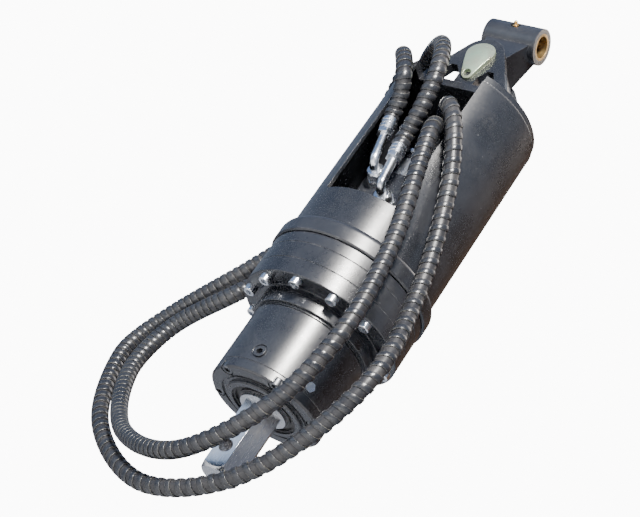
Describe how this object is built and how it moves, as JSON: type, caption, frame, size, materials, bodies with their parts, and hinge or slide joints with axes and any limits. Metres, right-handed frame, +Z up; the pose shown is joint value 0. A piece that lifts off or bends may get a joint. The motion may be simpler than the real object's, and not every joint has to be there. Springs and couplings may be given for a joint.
{
  "type": "hydraulic motor",
  "caption": "Hydraulic motor with planetary gearbox: windowed tube hood on a pinned two-way knuckle, guarded hoses, hexagonal output shaft.",
  "frame": {"origin": "centre of the knuckle's hitch bore", "axes": "+Z up along the drive axis, away from the output shaft; +X along the hitch bore; the hood's window, the ports and the flag of the pivot pin are on the -Y side"},
  "size_m": [0.4885, 0.2574, 0.8888],
  "materials": {
    "black_paint": "satin black enamel, light dust and a few rubbed edges",
    "bronze_bush": "machined bronze with a film of grease",
    "nipple_zinc": "yellow-passivated zinc plate",
    "flag_zinc": "pale yellow-green passivated zinc plate, dusty",
    "bright_zinc": "bright zinc plate",
    "bare_steel": "machined steel, oiled",
    "dark_steel": "dark oiled steel",
    "hose_guard": "black spiral plastic guard over a rubber hose",
    "seal_rubber": "black nitrile rubber"
  },
  "bodies": {
    "hitch": {"knuckle": "black_paint", "hitch_bushes": "bronze_bush", "pivot_bushes": "bronze_bush", "grease_nipple": "nipple_zinc"},
    "drive": {"hood_tube": "black_paint", "hood_collar": "black_paint", "hood_top_plate": "black_paint", "hitch_ears": "black_paint", "flag_pin": "flag_zinc", "pin_washer": "bright_zinc", "split_pin": "bright_zinc", "motor_housing": "black_paint", "wear_plate": "bare_steel", "stator_ring": "bare_steel", "stator_rollers": "bright_zinc", "motor_end_cover": "black_paint", "motor_tie_bolts": "bright_zinc", "motor_mount_bolts": "bright_zinc", "motor_bearing": "bare_steel", "motor_shaft_seal": "seal_rubber", "port_adapters": "bright_zinc", "elbow_tubes": "bright_zinc", "swivel_nuts": "bright_zinc", "hose_ferrules": "bright_zinc", "left_hose": "hose_guard", "right_hose": "hose_guard", "female_coupler": "bare_steel", "male_coupler": "bare_steel", "adapter_flange": "black_paint", "ring_gear": "black_paint", "output_housing": "black_paint", "drum": "black_paint", "bottom_cover": "black_paint", "flange_screws": "bright_zinc", "cover_screws": "dark_steel", "fill_plug": "black_paint", "drain_plug": "bright_zinc", "casing_o_rings": "seal_rubber", "bearing_cups": "bare_steel", "output_seal": "seal_rubber"},
    "output": {"output_shaft": "bare_steel", "planet_carrier": "dark_steel", "planet_pins": "bare_steel", "planet_retainers": "dark_steel", "bearing_cones": "bare_steel", "bearing_rollers": "bright_zinc", "lock_nut": "dark_steel"},
    "planet_1": {"planet_gear_1": "bare_steel"},
    "planet_2": {"planet_gear_2": "bare_steel"},
    "planet_3": {"planet_gear_3": "bare_steel"},
    "input": {"motor_shaft": "bare_steel", "sun_gear": "bare_steel"},
    "orbit": {"drive_link": "bare_steel"},
    "rotor": {"rotor": "bare_steel"},
    "sleeve": {"coupler_sleeve": "bare_steel"}
  },
  "joints": [
    {"name": "drive_swing", "type": "hinge", "parent": "hitch", "child": "drive", "pos_m": [0, 0, -0.085], "axis": [0, 1, 0], "range_deg": [-40, 40]},
    {"name": "output_spin", "type": "hinge", "parent": "drive", "child": "output", "pos_m": [0, 0, -0.7], "axis": [0, 0, 1], "continuous": true},
    {"name": "input_spin", "type": "hinge", "parent": "drive", "child": "input", "pos_m": [0, 0, -0.45], "axis": [0, 0, 1], "continuous": true},
    {"name": "planet_1_spin", "type": "hinge", "parent": "output", "child": "planet_1", "pos_m": [0, -0.05775, -0.522], "axis": [0, 0, 1], "continuous": true},
    {"name": "planet_2_spin", "type": "hinge", "parent": "output", "child": "planet_2", "pos_m": [0.05001, 0.02888, -0.522], "axis": [0, 0, 1], "continuous": true},
    {"name": "planet_3_spin", "type": "hinge", "parent": "output", "child": "planet_3", "pos_m": [-0.05001, 0.02888, -0.522], "axis": [0, 0, 1], "continuous": true},
    {"name": "rotor_orbit", "type": "hinge", "parent": "drive", "child": "orbit", "pos_m": [0, 0, -0.33], "axis": [0, 0, 1], "continuous": true},
    {"name": "rotor_spin", "type": "hinge", "parent": "orbit", "child": "rotor", "pos_m": [0.00288, 0.00139, -0.299], "axis": [0, 0, 1], "continuous": true},
    {"name": "sleeve_slide", "type": "slide", "parent": "drive", "child": "sleeve", "axis": [0, 0, 1], "range_m": [0, 0.006], "stiffness_N_per_m": 900, "springref_m": -0.001}
  ],
  "couplings": [
    {"joint": "input_spin", "follows": "output_spin", "ratio": 4.4},
    {"joint": "planet_1_spin", "follows": "output_spin", "ratio": -2.8333},
    {"joint": "planet_2_spin", "follows": "output_spin", "ratio": -2.8333},
    {"joint": "planet_3_spin", "follows": "output_spin", "ratio": -2.8333},
    {"joint": "rotor_orbit", "follows": "output_spin", "ratio": -26.4},
    {"joint": "rotor_spin", "follows": "output_spin", "ratio": 30.8}
  ]
}
